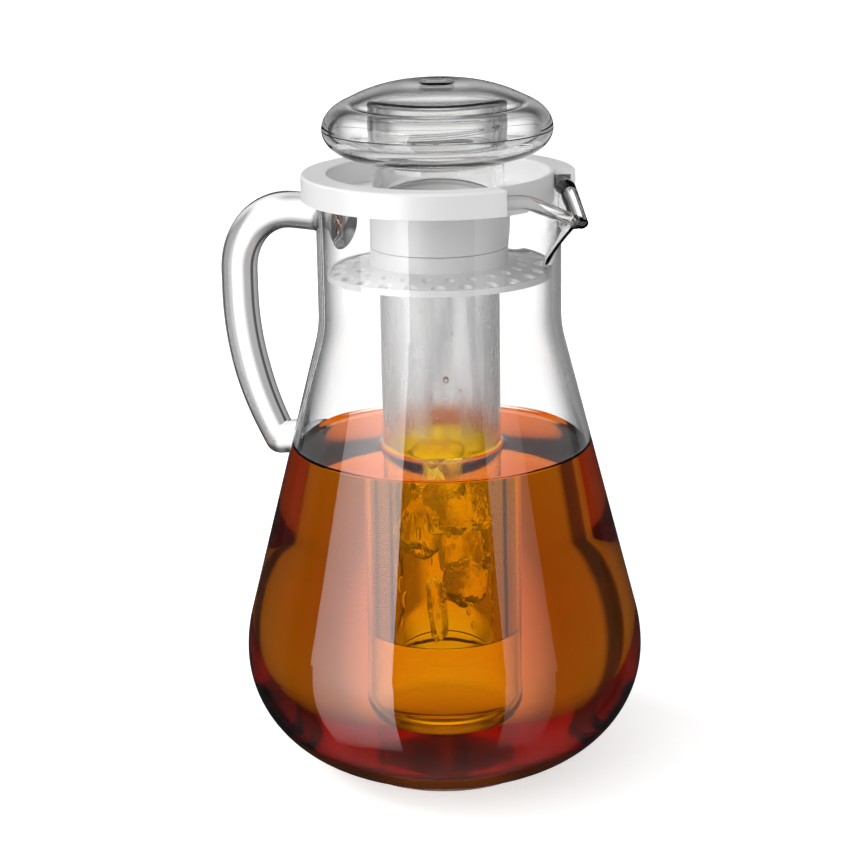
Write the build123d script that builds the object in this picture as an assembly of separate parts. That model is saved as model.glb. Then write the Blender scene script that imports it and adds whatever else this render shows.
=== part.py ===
from build123d import *
from math import acos, atan, cos, degrees, radians, sin, tan
import os

# Clear pitcher with a lift-out ice tube. Millimetres, +Z up, origin on the vessel's axis at the
# plane that it stands on, +X towards the spout, the handle at -X.

# Vessel
wall = 2.6
floor_thickness = 4.0
foot_radius = 44.0
foot_width = 6.0
foot_height = 2.0
foot_rounding = 1.0
belly_radius = 85.75
belly_height = 52.0
bowl_reach = 52.4
belly_turn = 8.5
cone_top_height = 194.2
neck_radius = 51.0
neck_turn = 6.5
bend_share = 0.97
rim_height = 257.0
rim_bead_radius = 3.0
rim_bead_offset = 0.2

# Spout
spout_reach = 67.2
spout_tip_drop = 10.9
spout_foot_height = 222.0
spout_throat_inset = 1.3
spout_keel_power = 1.25
spout_sections = 7
lip_bead_radius = 2.3
lip_bend_radius = 51.5

# Handle
grip_radius = 8.0
grip_end_radius = 7.3
grip_root_radius = 9.6
grip_root_length = 9.0
grip_top_height = 237.5
grip_reach = 102.8
grip_corner = 29.5
grip_straight = 9.0
grip_sweep_radius = 118.0
grip_sweep_angle = 31.0
grip_tail_length = 5.0
grip_foot_rise = 6.0

# Lid
fit_gap = 0.3
lid_skirt_wall = 2.0
lid_channel_play = 0.8
lid_roof = 2.4
lid_skirt_drop = 8.0
lid_plug_wall = 2.0
lid_floor_depth = 10.1
lid_floor_thickness = 2.0
lid_rounding = 1.1
spout_gap_angle = 31.0
socket_wall = 3.2
socket_length = 20.6
spigot_wall = 1.8
spigot_length = 6.0

# Strainer
strainer_fit = 0.08
strainer_hub_drop = 7.0
strainer_edge_play = 1.5
strainer_slope = 11.0
strainer_thickness = 1.9
strainer_bore_play = 1.0
strainer_rim_width = 1.6
strainer_rim_height = 0.6
hole_count = 24
outer_hole_ring = 42.0
outer_hole_radius = 2.8
inner_hole_ring = 34.6
inner_hole_radius = 2.0

# Ice tube
tube_radius = 25.2
tube_wall = 2.0
tube_floor = 3.0
tube_corner = 6.0
tube_bottom_height = 27.0
tube_play = 0.4
collar_radius = 27.5
collar_height = 13.5
tube_neck_length = 21.5
thread_height = 0.9

# Seals
tube_seal_thickness = 1.2
tube_seal_width = 3.8
knob_seal_thickness = 1.2

# Knob
knob_wall = 2.2
knob_radius = 47.8
knob_flat_radius = 30.0
knob_lower_height = 12.0
knob_shoulder_width = 19.6
knob_shoulder_rise = 13.6
knob_shoulder_turn = 60.0
knob_crown_rise = 19.7
knob_crown_bulge = 2.0
knob_apex_radius = 7.0
knob_apex_step = 0.4
sleeve_wall = 2.2
sleeve_cap = 2.0

# Heights and radii that follow from the values above
rim_bead_height = rim_height - rim_bead_radius
rim_bead_ring = neck_radius + rim_bead_offset
neck_bore = neck_radius - wall
lid_underside = rim_height + fit_gap
lid_top = lid_underside + lid_roof
lid_skirt_inner = rim_bead_ring + rim_bead_radius + lid_channel_play
lid_radius = lid_skirt_inner + lid_skirt_wall
plug_radius = rim_bead_ring - rim_bead_radius - fit_gap
lid_floor_top = lid_top - lid_floor_depth
lid_floor_bottom = lid_floor_top - lid_floor_thickness
socket_bore = tube_radius + tube_play
socket_radius = socket_bore + socket_wall
socket_bottom = lid_floor_top - socket_length
spigot_radius = socket_bore + spigot_wall
spigot_bottom = socket_bottom - spigot_length
hub_top = socket_bottom - fit_gap
hub_bottom = socket_bottom - strainer_hub_drop
hub_bore = spigot_radius + strainer_fit
strainer_radius = neck_bore - strainer_edge_play
collar_bottom = lid_floor_top + tube_seal_thickness
collar_top = collar_bottom + collar_height
tube_top = collar_top + tube_neck_length
thread_crest = tube_radius + thread_height
knob_bottom = collar_top + knob_seal_thickness
sleeve_bore = thread_crest + fit_gap
sleeve_radius = sleeve_bore + sleeve_wall
knob_equator = knob_bottom + knob_lower_height


def revolved(outline):
    # Turn a closed outline, drawn as radius and height, about the vessel's axis.
    return revolve(make_face(Plane.XZ * outline), Axis.Z)


def ring(inner, outer, bottom, top):
    # A plain ring about the axis.
    return Pos(0, 0, (bottom + top) / 2) * (Cylinder(outer, top - bottom) - Cylinder(inner, top - bottom))


def vessel_outline(inset, floor_height, top):
    # Half outline of the bowl, cone and neck, moved inwards by inset, from its floor to top.
    cone_bottom_height = belly_height + belly_turn
    cone_angle = atan((belly_radius - neck_radius) / (cone_top_height - cone_bottom_height))
    half_turn = tan(cone_angle / 2)
    bends = [bend_share * belly_turn / half_turn - inset, neck_turn / half_turn + inset]
    bowl_centre = belly_radius - bowl_reach
    bowl = EllipticalCenterArc(
        (bowl_centre, belly_height), bowl_reach - inset, belly_height - floor_height, -90, arc_size=90
    )
    side = FilletPolyline(
        (belly_radius - inset, belly_height),
        (belly_radius - inset, cone_bottom_height - inset * half_turn),
        (neck_radius - inset, cone_top_height - inset * half_turn),
        (neck_radius - inset, top),
        radius=bends,
    )
    closing = Polyline((neck_radius - inset, top), (0, top), (0, floor_height), (bowl_centre, floor_height))
    return Curve() + [bowl, side, closing]


def throat(circle, tip, height):
    # Flat V section of the spout: two lines from the tip, tangent to a circle about the axis.
    spread = acos(circle / tip)
    back = circle * cos(spread)
    side = circle * sin(spread)
    return Pos(0, 0, height) * make_face(Polyline((tip, 0), (back, side), (back, -side), close=True))


def throat_solid(inset):
    # The V grows from nothing at the spout's foot to its full reach at the lip.
    circle = neck_radius - spout_throat_inset
    lip_height = rim_bead_height - spout_tip_drop
    rise = lip_height - spout_foot_height
    tip_growth = spout_reach - circle
    sections = []
    for step in range(1, spout_sections + 1):
        share = step / spout_sections
        tip = circle + tip_growth * share**spout_keel_power
        height = spout_foot_height + rise * share
        sections.append(throat(circle - inset, tip * (circle - inset) / circle, height))
    sections.append(throat(circle - inset, spout_reach * (circle - inset) / circle, rim_height + wall))
    return loft(sections, ruled=True)


def lip_cutter():
    # Everything above the lip's centre line: level over the neck, then falling to the spout's tip.
    lip_height = rim_bead_height - spout_tip_drop
    slope = spout_tip_drop / (spout_reach - lip_bend_radius)
    far = spout_reach + 4 * wall
    outline = Polyline(
        (-belly_radius, rim_bead_height),
        (lip_bend_radius, rim_bead_height),
        (far, lip_height - slope * (far - spout_reach)),
        (far, rim_height + 4 * wall),
        (-belly_radius, rim_height + 4 * wall),
        close=True,
    )
    return extrude(make_face(Plane.XZ * outline), amount=belly_radius, both=True)


def tapered_rod(start, end, start_radius, end_radius):
    # A round rod from one point to another, closed by a ball at its far end.
    path = Vector(*end) - Vector(*start)
    plane = Plane(origin=start, z_dir=path)
    rod = loft([plane * Circle(start_radius), plane.offset(path.length) * Circle(end_radius)])
    return rod + Pos(*end) * Sphere(end_radius)


def rim_bead():
    # Round bead along the rim, carried on along both lips of the spout to its nose.
    spread = acos(rim_bead_ring / spout_reach)
    leave = (rim_bead_ring * cos(spread), rim_bead_ring * sin(spread))
    share = (lip_bend_radius - leave[0]) / (spout_reach - leave[0])
    bend = (lip_bend_radius, leave[1] * (1 - share))
    nose = (spout_reach, 0, rim_bead_height - spout_tip_drop)
    section = Plane.XZ * (Pos(rim_bead_ring, rim_bead_height) * Circle(rim_bead_radius))
    bead = Rot(0, 0, degrees(spread)) * revolve(section, Axis.Z, revolution_arc=360 - 2 * degrees(spread))
    middle_radius = (rim_bead_radius + lip_bead_radius) / 2
    for side in (1, -1):
        start = (leave[0], side * leave[1], rim_bead_height)
        corner = (bend[0], side * bend[1], rim_bead_height)
        bead += tapered_rod(start, corner, rim_bead_radius, middle_radius)
        bead += tapered_rod(corner, nose, middle_radius, lip_bead_radius)
    return bead


def foot_ring():
    # Low ring that the vessel stands on, run up into the floor.
    body = ring(foot_radius - foot_width, foot_radius, 0, foot_height + floor_thickness / 2)
    low_edges = body.edges().filter_by(GeomType.CIRCLE).group_by(Axis.Z)[0]
    return fillet(low_edges, foot_rounding)


def vessel_solid():
    # The vessel's outer form, filled.
    top = rim_bead_height + wall
    body = revolved(vessel_outline(0, foot_height, top)) + foot_ring()
    return body + throat_solid(0)


def vessel():
    # Hollow blown vessel with a V-shaped spout and a rolled rim.
    top = rim_height + 4 * wall
    hollow = revolved(vessel_outline(wall, foot_height + floor_thickness, top)) + throat_solid(wall)
    return vessel_solid() - hollow - lip_cutter() + rim_bead()


def grip_path():
    # Centre line of the grip: out from the neck, round the corner, down and slightly inwards.
    corner_x = grip_reach - grip_corner
    corner_z = grip_top_height - grip_corner
    sweep_z = corner_z - grip_straight
    top_run = Line((-neck_bore, grip_top_height), (-corner_x, grip_top_height))
    corner = CenterArc((-corner_x, corner_z), grip_corner, 90, 90)
    straight = Line((-grip_reach, corner_z), (-grip_reach, sweep_z))
    inward = CenterArc((grip_sweep_radius - grip_reach, sweep_z), grip_sweep_radius, 180, grip_sweep_angle)
    return Plane.XZ * Wire([top_run, corner, straight, inward])


def handle():
    # Solid round grip, bonded to the neck above and to the cone below.
    path = grip_path()
    grip = sweep(Plane(origin=path @ 0, z_dir=path % 0) * Circle(grip_radius), path=path)
    tail = path @ 1 + (path % 1) * grip_tail_length
    foot = (-neck_radius, 0, tail.Z + grip_foot_rise)
    grip += tapered_rod(path @ 1, tail, grip_radius, grip_end_radius)
    grip += tapered_rod(tail, foot, grip_end_radius, grip_end_radius)
    flare_end = (-neck_radius - grip_root_length, 0, grip_top_height)
    grip += tapered_rod(path @ 0, flare_end, grip_root_radius, grip_radius)
    return grip - vessel_solid()


def spout_gap():
    # Wedge cut out of the lid's ring so that the spout pours past it.
    far = 2 * lid_radius
    half = far * sin(radians(spout_gap_angle))
    reach = far * cos(radians(spout_gap_angle))
    wedge = extrude(make_face(Polyline((0, 0), (reach, half), (reach, -half), close=True)), 2 * lid_radius)
    depth = lid_underside - lid_skirt_drop - 1
    return Pos(0, 0, depth) * (wedge - Cylinder(plug_radius, 8 * lid_radius))


def lid():
    # Ring that rides over the rim, plug inside it, sunken floor and the socket for the ice tube.
    crown = ring(plug_radius - lid_plug_wall, lid_radius, lid_underside, lid_top)
    crown = fillet(crown.edges().filter_by(GeomType.CIRCLE).group_by(Axis.Z)[-1], lid_rounding)
    skirt = ring(lid_skirt_inner, lid_radius, lid_underside - lid_skirt_drop, lid_underside)
    plug = ring(plug_radius - lid_plug_wall, plug_radius, lid_floor_bottom, lid_underside)
    floor = ring(socket_bore, plug_radius, lid_floor_bottom, lid_floor_top)
    socket = ring(socket_bore, socket_radius, socket_bottom, lid_floor_top)
    spigot = ring(socket_bore, spigot_radius, spigot_bottom, socket_bottom)
    return crown + skirt - spout_gap() + plug + floor + socket + spigot


def strainer():
    # Perforated cone on a hub that pushes on to the lid's spigot.
    drop = (strainer_radius - socket_radius) * tan(radians(strainer_slope))
    bore = tube_radius + strainer_bore_play
    ledge_top = spigot_bottom - fit_gap
    edge_top = hub_bottom - drop
    outline = Polyline(
        (bore, hub_bottom - strainer_thickness),
        (bore, ledge_top),
        (hub_bore, ledge_top),
        (hub_bore, hub_top),
        (socket_radius, hub_top),
        (socket_radius, hub_bottom),
        (strainer_radius - strainer_rim_width, edge_top),
        (strainer_radius - strainer_rim_width, edge_top + strainer_rim_height),
        (strainer_radius, edge_top + strainer_rim_height),
        (strainer_radius, edge_top - strainer_thickness),
        (socket_radius, hub_bottom - strainer_thickness),
        close=True,
    )
    body = revolved(outline)
    tall = 4 * drop
    outer = PolarLocations(outer_hole_ring, hole_count)
    inner = PolarLocations(inner_hole_ring, hole_count, start_angle=180 / hole_count)
    holes = [spot * Cylinder(outer_hole_radius, tall) for spot in outer]
    holes += [spot * Cylinder(inner_hole_radius, tall) for spot in inner]
    return body - [Pos(0, 0, edge_top) * hole for hole in holes]


def ice_tube():
    # Closed tube for ice, with a collar that sits on the lid and a threaded neck for the knob.
    inner = tube_radius - tube_wall
    body = Pos(0, 0, (tube_bottom_height + tube_top) / 2) * Cylinder(tube_radius, tube_top - tube_bottom_height)
    body = fillet(body.edges().filter_by(GeomType.CIRCLE).group_by(Axis.Z)[0], tube_corner)
    floor = tube_bottom_height + tube_floor
    bore = Pos(0, 0, (floor + tube_top) / 2) * Cylinder(inner, tube_top - floor)
    bore = fillet(bore.edges().filter_by(GeomType.CIRCLE).group_by(Axis.Z)[0], tube_corner - tube_wall)
    collar = ring(inner, collar_radius, collar_bottom, collar_top)
    return body - bore + collar


def tube_seal():
    # Soft washer between the tube's collar and the lid's floor.
    return ring(tube_radius + fit_gap, tube_radius + tube_seal_width, lid_floor_top, collar_bottom)


def knob_seal():
    # Soft washer between the collar and the knob's sleeve.
    return ring(tube_radius + fit_gap, collar_radius, collar_top, knob_bottom)


def bowl(inset):
    # Lower half of the knob, filled.
    curve = EllipticalCenterArc(
        (knob_flat_radius, knob_equator),
        knob_radius - knob_flat_radius - inset,
        knob_lower_height - inset,
        -90,
        arc_size=90,
    )
    closing = Polyline(
        (knob_radius - inset, knob_equator),
        (0, knob_equator),
        (0, knob_bottom + inset),
        (knob_flat_radius, knob_bottom + inset),
    )
    return revolved(Curve() + [curve, closing])


def knob_bowl():
    # Lower half of the hollow knob, with the closed sleeve that screws on to the tube's neck.
    sleeve_top = tube_top + fit_gap + sleeve_cap
    sleeve = Pos(0, 0, (knob_bottom + sleeve_top) / 2) * Cylinder(sleeve_radius, sleeve_top - knob_bottom)
    bore_top = sleeve_top - sleeve_cap
    bore = Pos(0, 0, (knob_bottom + bore_top) / 2) * Cylinder(sleeve_bore, bore_top - knob_bottom)
    return bowl(0) - bowl(knob_wall) + sleeve - bore


def dome(inset):
    # Upper half of the knob, filled: round shoulder, shallow crown and a small disc at the apex.
    centre = (knob_radius - knob_shoulder_width, knob_equator)
    shoulder = EllipticalCenterArc(
        centre, knob_shoulder_width - inset, knob_shoulder_rise - inset, 0, arc_size=knob_shoulder_turn
    )
    edge = shoulder @ 1
    crown_height = knob_equator + knob_crown_rise - inset
    middle = ((edge.X + knob_apex_radius) / 2, (edge.Y + crown_height) / 2 + knob_crown_bulge)
    crown = ThreePointArc((edge.X, edge.Y), middle, (knob_apex_radius, crown_height))
    apex = Polyline(
        (knob_apex_radius, crown_height),
        (knob_apex_radius, crown_height + knob_apex_step),
        (0, crown_height + knob_apex_step),
        (0, knob_equator),
        (knob_radius - inset, knob_equator),
    )
    return revolved(Curve() + [shoulder, crown, apex])


def knob_dome():
    # Upper cover of the hollow knob.
    return dome(0) - dome(knob_wall)


nodes = {
    "vessel": vessel,
    "handle": handle,
    "lid": lid,
    "strainer": strainer,
    "ice_tube": ice_tube,
    "tube_seal": tube_seal,
    "knob_seal": knob_seal,
    "knob_bowl": knob_bowl,
    "knob_dome": knob_dome,
}

os.makedirs("parts", exist_ok=True)
for name, make in nodes.items():
    export_step(make(), os.path.join("parts", name + ".step"))
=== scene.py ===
import bpy
import bmesh
import numpy as np
from mathutils import Matrix, Vector


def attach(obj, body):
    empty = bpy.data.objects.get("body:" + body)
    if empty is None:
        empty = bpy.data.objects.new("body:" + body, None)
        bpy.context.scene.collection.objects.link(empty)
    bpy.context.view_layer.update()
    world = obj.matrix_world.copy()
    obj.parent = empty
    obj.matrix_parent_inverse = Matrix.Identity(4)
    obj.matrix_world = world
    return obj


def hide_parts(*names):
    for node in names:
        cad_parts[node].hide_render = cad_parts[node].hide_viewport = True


# Clear pitcher with a lift-out ice tube. Sizes below are millimetres, meshes are written in metres.
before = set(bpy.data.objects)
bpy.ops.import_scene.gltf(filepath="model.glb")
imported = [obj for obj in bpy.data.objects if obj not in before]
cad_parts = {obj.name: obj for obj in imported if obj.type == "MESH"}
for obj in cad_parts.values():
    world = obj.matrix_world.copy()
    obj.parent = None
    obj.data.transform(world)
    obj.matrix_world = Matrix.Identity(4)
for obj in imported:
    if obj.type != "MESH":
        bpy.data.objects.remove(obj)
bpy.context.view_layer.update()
print("frame: loaded", len(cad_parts), "nodes")

mm = 0.001
fullTurn = 2 * np.pi
mainAzimuth = 31.0  # where the camera stands, in degrees round from -Y towards +X


def arcPoints(centreR, centreH, reachR, reachH, start, end, count):
    # Ellipse arc: centre plus reach times cosine and sine of an angle that runs evenly, in degrees
    angle = np.radians(np.linspace(start, end, count))
    return np.column_stack([centreR + reachR * np.cos(angle), centreH + reachH * np.sin(angle)])


def roundCorner(corner, before, after, radius, count=6):
    # Arc of the given radius that touches both sides of a corner
    corner, before, after = (np.asarray(p, float) for p in (corner, before, after))
    sideA = (before - corner) / np.linalg.norm(before - corner)
    sideB = (after - corner) / np.linalg.norm(after - corner)
    half = np.arccos(np.clip(sideA @ sideB, -1, 1)) / 2
    middle = (sideA + sideB) / np.linalg.norm(sideA + sideB)
    centre = corner + middle * radius / np.sin(half)
    first = corner + sideA * radius / np.tan(half) - centre
    last = corner + sideB * radius / np.tan(half) - centre
    share = np.linspace(0, 1, count)[:, None]
    sweep = np.pi - 2 * half
    return centre + (np.sin((1 - share) * sweep) * first + np.sin(share * sweep) * last) / np.sin(sweep)


def roundedOutline(corners, radii, closed=True):
    # Straight sides between corners, each corner rounded by its own radius, 0 leaves it sharp
    rows = []
    total = len(corners)
    for spot, (corner, radius) in enumerate(zip(corners, radii)):
        ends = not closed and spot in (0, total - 1)
        if radius == 0 or ends:
            rows.append(np.array([corner], float))
        else:
            rows.append(roundCorner(corner, corners[spot - 1], corners[(spot + 1) % total], radius))
    return np.vstack(rows)


def gridFaces(columns, rows, wrapColumns=True, wrapRows=False):
    # Four corner numbers of every cell in a grid of columns by rows
    i = np.arange(columns if wrapColumns else columns - 1)[:, None]
    j = np.arange(rows if wrapRows else rows - 1)[None, :]
    nextI = (i + 1) % columns
    nextJ = (j + 1) % rows
    cell = [i * rows + j, nextI * rows + j, nextI * rows + nextJ, i * rows + nextJ]
    return np.stack(np.broadcast_arrays(*cell), -1).reshape(-1, 4)


def meshPiece(name, points, faces, material, sharp=42, replaced=(), body=None, slotName=None):
    # Puts arrays into a mesh, welds poles and seams, turns faces outwards
    mesh = bpy.data.meshes.new(name)
    mesh.vertices.add(len(points))
    mesh.vertices.foreach_set("co", (np.asarray(points, float) * mm).ravel())
    mesh.loops.add(faces.size)
    mesh.loops.foreach_set("vertex_index", faces.ravel().astype(np.int32))
    mesh.polygons.add(len(faces))
    mesh.polygons.foreach_set("loop_start", np.arange(0, faces.size, faces.shape[1], dtype=np.int32))
    mesh.update(calc_edges=True)
    work = bmesh.new()
    work.from_mesh(mesh)
    bmesh.ops.remove_doubles(work, verts=work.verts, dist=2e-6)
    bmesh.ops.dissolve_degenerate(work, dist=1e-7, edges=work.edges)
    loose = [v for v in work.verts if not v.link_faces]
    bmesh.ops.delete(work, geom=loose, context="VERTS")
    bmesh.ops.recalc_face_normals(work, faces=work.faces)
    work.to_mesh(mesh)
    work.free()
    mesh.polygons.foreach_set("use_smooth", np.ones(len(mesh.polygons), bool))
    mesh.set_sharp_from_angle(angle=np.radians(sharp))
    piece = bpy.data.objects.new(name, mesh)
    bpy.context.scene.collection.objects.link(piece)
    mesh.materials.append(material)
    if body:
        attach(piece, body)
    if replaced:
        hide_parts(*replaced)
    return piece


def latheGrid(profile, steps):
    # Profile of radius and height carried round the axis: x = r cos a, y = r sin a, z = h
    angle = np.arange(steps) * fullTurn / steps
    radius, height = profile[:, 0], profile[:, 1]
    x = np.cos(angle)[:, None] * radius
    y = np.sin(angle)[:, None] * radius
    return np.stack([x, y, np.broadcast_to(height, x.shape)], -1).reshape(-1, 3)


def lathePiece(name, profile, material, steps=160, closed=False, **about):
    # Turned piece: a profile all the way round, welded at the axis
    points = latheGrid(profile, steps)
    return meshPiece(name, points, gridFaces(steps, len(profile), True, closed), material, **about)


# Materials


def newMaterial(name, values):
    # Principled material whose sockets take the values of a table
    material = bpy.data.materials.new(name)
    material.use_nodes = True
    tree = material.node_tree
    shader = tree.nodes["Principled BSDF"]
    for label, value in values.items():
        shader.inputs[label].default_value = value
    return material, tree, shader


def addNode(tree, kind, feeds=(), **settings):
    # New node with its settings. Each of its inputs is fed by a socket or set to a value.
    node = tree.nodes.new(kind)
    for label, value in settings.items():
        setattr(node, label, value)
    for slot, value in dict(feeds).items():
        if isinstance(value, bpy.types.NodeSocket):
            tree.links.new(value, node.inputs[slot])
        else:
            node.inputs[slot].default_value = value
    return node


def combine(tree, operation, first, second):
    # One Math node
    node = addNode(tree, "ShaderNodeMath", {0: first, 1: second}, operation=operation)
    return node.outputs["Value"]


def blend(tree, share, first, second):
    # First where share is 0, second where it is 1
    rest = combine(tree, "SUBTRACT", 1.0, share)
    kept = combine(tree, "MULTIPLY", rest, first)
    return combine(tree, "ADD", kept, combine(tree, "MULTIPLY", share, second))


def valueRamp(tree, value, low, high, lowValue, highValue):
    # Straight line from lowValue at low to highValue at high, level beyond both
    feeds = {"Value": value, "From Min": low, "From Max": high, "To Min": lowValue, "To Max": highValue}
    return addNode(tree, "ShaderNodeMapRange", feeds).outputs["Result"]


def colourRamp(tree, value, first, second, start=0.0, end=1.0):
    # Colour that runs from first at start to second at end
    ramp = addNode(tree, "ShaderNodeValToRGB", {"Fac": value})
    for element, place, colour in zip(ramp.color_ramp.elements, (start, end), (first, second)):
        element.position = place
        element.color = (*colour, 1)
    return ramp.outputs["Color"]


unevenStart = {"Wave size": 30.0, "Wave height": 0.1, "Grain size": 600.0, "Grain height": 0.0}


def unevenGroup():
    # Shared effect: slow waves and fine grain on a moulded or blown surface, as a bumped normal
    group = bpy.data.node_groups.new("unevenSurface", "ShaderNodeTree")
    sockets = group.interface
    for label, value in unevenStart.items():
        socket = sockets.new_socket(name=label, in_out="INPUT", socket_type="NodeSocketFloat")
        socket.default_value = value
    sockets.new_socket(name="Normal", in_out="OUTPUT", socket_type="NodeSocketVector")
    given = addNode(group, "NodeGroupInput").outputs
    place = addNode(group, "ShaderNodeTexCoord").outputs["Object"]
    normal = {}
    for label, depth in (("Wave", 0.001), ("Grain", 0.0001)):
        noise = addNode(group, "ShaderNodeTexNoise", {"Vector": place, "Scale": given[label + " size"]})
        feeds = {"Height": noise.outputs["Fac"], "Strength": given[label + " height"], "Distance": depth}
        normal = {"Normal": addNode(group, "ShaderNodeBump", {**feeds, **normal}).outputs["Normal"]}
    addNode(group, "NodeGroupOutput", normal)
    return group


uneven = unevenGroup()


def addUneven(tree, shader, *values):
    # Places the shared effect with a material's own values, in unevenStart's order, and feeds its normal
    node = addNode(tree, "ShaderNodeGroup", zip(unevenStart, values), node_tree=uneven)
    tree.links.new(node.outputs["Normal"], shader.inputs["Normal"])


clearFinish = {
    # facing and edge: colour head on and edge on, the edge colour being painted shade on the silhouette,
    # with the facing values between which it changes
    # uneven: wave size, wave height, grain size, grain height
    "blownGlass": {
        "ior": 1.5,
        "facing": (0.99, 0.99, 0.99),
        "edge": (0.30, 0.31, 0.31),
        "edgeShadeFrom": 0.45,
        "edgeShadeTo": 0.97,
        "uneven": (22, 0.05, 600, 0),
        "backMirror": 0.04,
    },
    "rodGlass": {
        "ior": 1.5,
        "facing": (0.99, 0.99, 0.99),
        "edge": (0.24, 0.25, 0.25),
        "edgeShadeFrom": 0.25,
        "edgeShadeTo": 0.95,
        "uneven": (40, 0.06, 600, 0),
    },
    "clearPlastic": {
        "ior": 1.49,
        "facing": (0.998, 0.998, 0.998),
        "edge": (0.1, 0.105, 0.105),
        "edgeShadeFrom": 0.56,
        "edgeShadeTo": 0.95,
        "uneven": (35, 0.05, 600, 0),
    },
}


def edgeShadedClearMaterial(name):
    # Painted shade: the clear solid's colour darkens where it is seen edge on, over Layer Weight's facing
    # value, standing in for the dark room bent in at its edges
    f = clearFinish[name]
    values = {"Transmission Weight": 1.0, "IOR": f["ior"], "Roughness": 0.0}
    material, tree, shader = newMaterial(name, values)
    facing = addNode(tree, "ShaderNodeLayerWeight", {"Blend": 0.5}).outputs["Facing"]
    # Painted shade: grey colour on the silhouette, white head on
    paintedShade = colourRamp(tree, facing, f["facing"], f["edge"], f["edgeShadeFrom"], f["edgeShadeTo"])
    tree.links.new(paintedShade, shader.inputs["Base Color"])
    addUneven(tree, shader, *f["uneven"])
    if "backMirror" in f:
        # A wet wall hardly mirrors from behind: back faces mirror less head on, but still at a slant
        back = addNode(tree, "ShaderNodeNewGeometry").outputs["Backfacing"]
        mirror = colourRamp(tree, back, (1, 1, 1), (f["backMirror"],) * 3)
        tree.links.new(mirror, shader.inputs["Specular Tint"])
    return material


plainFinish = {
    # Softly glossy, with a little light inside it, slow mould waves and fine grain
    "whitePlastic": {
        "Base Color": (0.86, 0.86, 0.86, 1),
        "Roughness": 0.34,
        "Specular IOR Level": 0.45,
        "Subsurface Weight": 0.12,
        "Subsurface Radius": (0.003, 0.003, 0.003),
    },
    # Matt and cloudy
    "silicone": {"Base Color": (0.82, 0.84, 0.84, 1), "Roughness": 0.55, "Transmission Weight": 0.5},
    # Weak lens, so that the lumps stay pale in the wet tube, with a rough melting surface
    "clearIce": {
        "Base Color": (0.97, 0.98, 0.98, 1),
        "Transmission Weight": 1.0,
        "IOR": 1.17,
        "Roughness": 0.03,
    },
}


def plainMaterial(name, *values):
    # Finish of one look all over, on an uneven surface
    material, tree, shader = newMaterial(name, plainFinish[name])
    addUneven(tree, shader, *values)
    return material


teaDepth = {"Color": (0.973, 0.858, 0.14, 1), "Density": 100.0}
liquid = {
    "Base Color": (1, 1, 1, 1),
    "Transmission Weight": 1.0,
    "IOR": 1.333,
    "Roughness": 0.0,
}


def teaMaterial():
    # Colour by depth: each colour falls as e to the power of minus density times what the tea takes
    material, tree, shader = newMaterial("blackTea", liquid)
    shader.inputs["Specular Tint"].default_value = (0.05, 0.05, 0.05, 1)
    depth = addNode(tree, "ShaderNodeVolumeAbsorption", teaDepth)
    tree.links.new(depth.outputs["Volume"], tree.nodes["Material Output"].inputs["Volume"])
    return material


tubeFog = {
    "start": 141.0,
    "full": 153.0,
    "clearFrom": 225.0,
    "clearTo": 246.0,
    "streakSize": 160.0,
    "streakLength": 0.12,
    "streakBand": (0.35, 0.65),
    "leastFog": 0.45,
    "roughness": 0.32,
    "clear": (0.97, 0.97, 0.965),
    "fogShade": (0.6, 0.6, 0.605),
}


def foggedTubeMaterial():
    # Clear plastic fogged above the drink: a ramp over height times noise drawn out down the tube. The fog's
    # roughness is real; its grey colour is painted shade
    f = tubeFog
    material, tree, shader = newMaterial("foggedTube", {"Transmission Weight": 1.0, "IOR": 1.49})
    place = addNode(tree, "ShaderNodeTexCoord").outputs["Object"]
    height = addNode(tree, "ShaderNodeSeparateXYZ", {"Vector": place}).outputs["Z"]
    lower = valueRamp(tree, height, f["start"] * mm, f["full"] * mm, 0.0, 1.0)
    upper = valueRamp(tree, height, f["clearFrom"] * mm, f["clearTo"] * mm, 1.0, 0.0)
    between = combine(tree, "MULTIPLY", lower, upper)
    stretch = addNode(tree, "ShaderNodeMapping", {"Vector": place, "Scale": (1, 1, f["streakLength"])})
    feeds = {"Vector": stretch.outputs["Vector"], "Scale": f["streakSize"], "Detail": 4}
    streak = addNode(tree, "ShaderNodeTexNoise", feeds)
    contrast = valueRamp(tree, streak.outputs["Fac"], *f["streakBand"], f["leastFog"], 1.0)
    share = combine(tree, "MULTIPLY", between, contrast)
    rough = valueRamp(tree, share, 0.0, 1.0, 0.0, f["roughness"])
    tree.links.new(rough, shader.inputs["Roughness"])
    # Painted shade: the fogged band's colour turns grey
    paintedShade = colourRamp(tree, share, f["clear"], f["fogShade"])
    tree.links.new(paintedShade, shader.inputs["Base Color"])
    return material


blownGlass = edgeShadedClearMaterial("blownGlass")
rodGlass = edgeShadedClearMaterial("rodGlass")
clearPlastic = edgeShadedClearMaterial("clearPlastic")
whitePlastic = plainMaterial("whitePlastic", 60, 0.03, 1400, 0.12)
silicone = plainMaterial("silicone", 80, 0.05, 900, 0.3)
blackTea = teaMaterial()
foggedTube = foggedTubeMaterial()
clearIce = plainMaterial("clearIce", 330, 0.9, 900, 0.5)
meltWater = newMaterial("meltWater", liquid)[0]
print("materials: ready")

# Vessel: one grid of columns round the axis. Each runs up the outside, over the rim, down the inside.

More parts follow.
